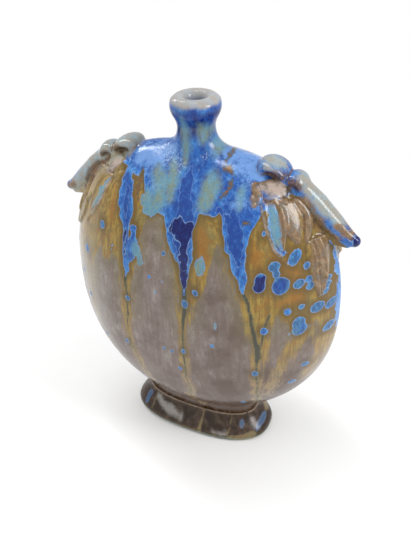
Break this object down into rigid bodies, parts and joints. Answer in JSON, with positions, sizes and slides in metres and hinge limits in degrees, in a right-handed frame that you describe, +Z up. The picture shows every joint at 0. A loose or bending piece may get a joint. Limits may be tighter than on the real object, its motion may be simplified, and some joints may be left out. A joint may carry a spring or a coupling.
{
  "type": "bud vase",
  "caption": "Flat round flask vase on an oval foot, with a short narrow neck, a rolled lip and an applied winged insect as a handle on each shoulder.",
  "frame": {"origin": "on the resting plane, under the middle of the body between the tips of the insects", "axes": "+Z up along the neck, the decorated front face looks along -Y, +X along the width from the left insect to the right one"},
  "size_m": [0.1554, 0.078, 0.1999],
  "materials": {
    "body": "glossy ochre and mauve-brown glaze with blue runs and crystals",
    "neck": "glossy blue glaze",
    "foot": "glossy dark brown glaze",
    "blue": "glossy blue glaze",
    "pale": "glossy pale grey-green glaze",
    "ochre": "satin orange-brown glaze",
    "brown": "satin brown glaze"
  },
  "bodies": {
    "root": {"body_front_shell": "body", "body_back_shell": "body", "neck_and_lip": "neck", "foot_ring": "foot", "left_head": "pale", "left_thorax": "blue", "left_abdomen": "blue", "left_collar_front": "pale", "left_collar_back": "pale", "left_foreleg_front": "brown", "left_foreleg_back": "brown", "left_forewing_front": "blue", "left_forewing_back": "blue", "left_midwing_front": "ochre", "left_midwing_back": "ochre", "left_hindwing_front": "ochre", "left_hindwing_back": "ochre", "left_leg_front": "ochre", "left_leg_back": "ochre", "right_head": "pale", "right_thorax": "blue", "right_abdomen": "blue", "right_collar_front": "pale", "right_collar_back": "pale", "right_foreleg_front": "brown", "right_foreleg_back": "brown", "right_forewing_front": "blue", "right_forewing_back": "blue", "right_midwing_front": "ochre", "right_midwing_back": "ochre", "right_hindwing_front": "ochre", "right_hindwing_back": "ochre", "right_leg_front": "ochre", "right_leg_back": "ochre"}
  },
  "joints": []
}
